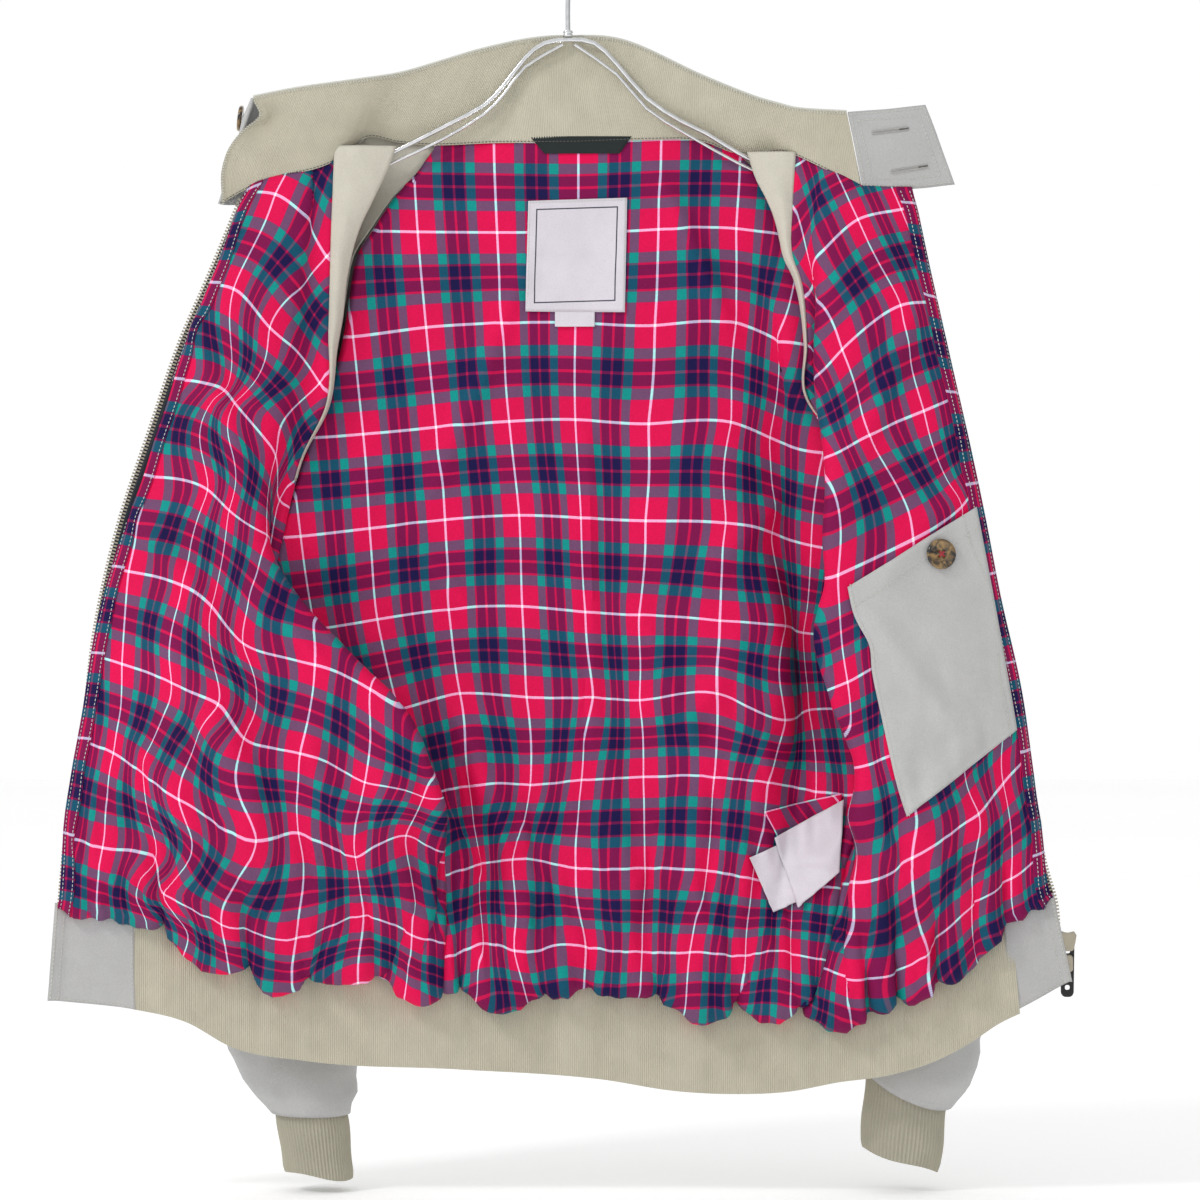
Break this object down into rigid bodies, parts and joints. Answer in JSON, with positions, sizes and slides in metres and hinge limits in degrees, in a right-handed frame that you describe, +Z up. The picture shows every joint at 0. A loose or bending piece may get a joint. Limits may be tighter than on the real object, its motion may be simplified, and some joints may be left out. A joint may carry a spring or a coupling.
{
  "type": "harrington jacket on a wire hanger",
  "caption": "Short zip-up jacket hung wide open on a bent steel wire hanger, tartan lining and inside pocket in sight, ribbed collar, waistband and cuffs.",
  "frame": {"origin": "inner top of the hanger's hook, where it rests on a rail", "axes": "+Z up, the jacket hangs down along -Z; +X towards the wearer's left; -Y towards the viewer, who sees the inside of the back; +Y is the outside of the back"},
  "size_m": [0.6937, 0.1561, 0.8616],
  "materials": {
    "shell_cloth": "closely woven cotton poplin, pale stone, matt",
    "tartan_lining": "light woven lining in a traditional red tartan",
    "sleeve_lining": "smooth beige lining",
    "rib_knit": "ribbed knit, khaki",
    "zip_metal": "dull silver metal",
    "pull_metal": "black enamel",
    "tortoise_button": "polished dark tortoise plastic",
    "label_cloth": "white woven satin, bare",
    "dark_tape": "dark woven tape",
    "hanger_steel": "polished steel wire"
  },
  "bodies": {
    "jacket": {"back_lining": "tartan_lining", "back_shell": "shell_cloth", "care_label_1": "label_cloth", "care_label_2": "label_cloth", "collar_button_1": "tortoise_button", "collar_button_2": "tortoise_button", "collar_rib": "rib_knit", "collar_shell": "shell_cloth", "collar_tab_left": "shell_cloth", "collar_tab_right": "shell_cloth", "cuff_left": "rib_knit", "cuff_right": "rib_knit", "front_lining_left": "tartan_lining", "front_lining_right": "tartan_lining", "front_shell_left": "shell_cloth", "front_shell_right": "shell_cloth", "hanger_clasp": "hanger_steel", "hanger_hook": "hanger_steel", "hanger_lower_rod_left": "hanger_steel", "hanger_lower_rod_right": "hanger_steel", "hanger_upper_rod": "hanger_steel", "inside_pocket": "sleeve_lining", "lining_flap": "tartan_lining", "neck_label": "label_cloth", "neck_tape": "dark_tape", "pocket_button": "tortoise_button", "size_tab": "label_cloth", "sleeve_lining_left": "sleeve_lining", "sleeve_lining_right": "sleeve_lining", "sleeve_shell_left": "shell_cloth", "sleeve_shell_right": "shell_cloth", "waist_tab_left": "shell_cloth", "waist_tab_right": "shell_cloth", "waistband": "rib_knit", "zip_box": "zip_metal", "zip_chain_left": "zip_metal", "zip_chain_right": "zip_metal", "zip_slider": "zip_metal"},
    "zip_pull": {"zip_pull": "pull_metal"}
  },
  "joints": [
    {"name": "zip_pull_hinge", "type": "hinge", "parent": "jacket", "child": "zip_pull", "pos_m": [0.3375, 0.0047, -0.6946], "axis": [1, 0, 0], "range_deg": [0, 170]}
  ]
}
